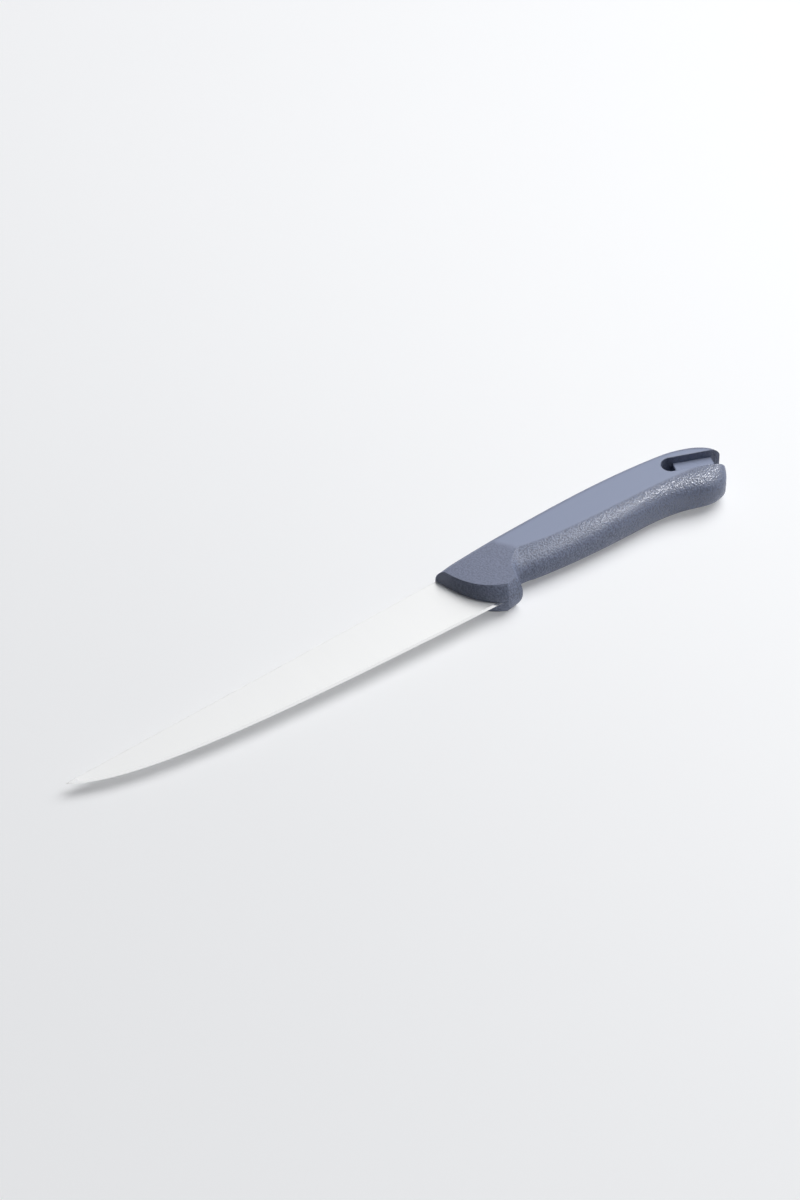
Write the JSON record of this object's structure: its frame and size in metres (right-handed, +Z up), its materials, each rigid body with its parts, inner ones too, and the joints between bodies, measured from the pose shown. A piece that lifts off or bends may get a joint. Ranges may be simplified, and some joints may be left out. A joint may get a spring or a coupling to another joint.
{
  "type": "cheese knife",
  "caption": "Slim kitchen knife lying on its side: a straight-backed steel blade with an edge curving up to the point, in a moulded handle with finger guard, clip slot and hanging hole.",
  "frame": {"origin": "on the table under the middle of the knife's box, as the knife lies on its side", "axes": "+X from the point to the butt along the spine, +Y from the cutting edge to the spine, +Z up from the table, out of the upper side facet"},
  "size_m": [0.3074, 0.031, 0.0174],
  "materials": {
    "blade_steel": "satin",
    "handle_plastic": "matte"
  },
  "bodies": {
    "root": {"blade": "blade_steel", "handle": "handle_plastic"}
  },
  "joints": []
}
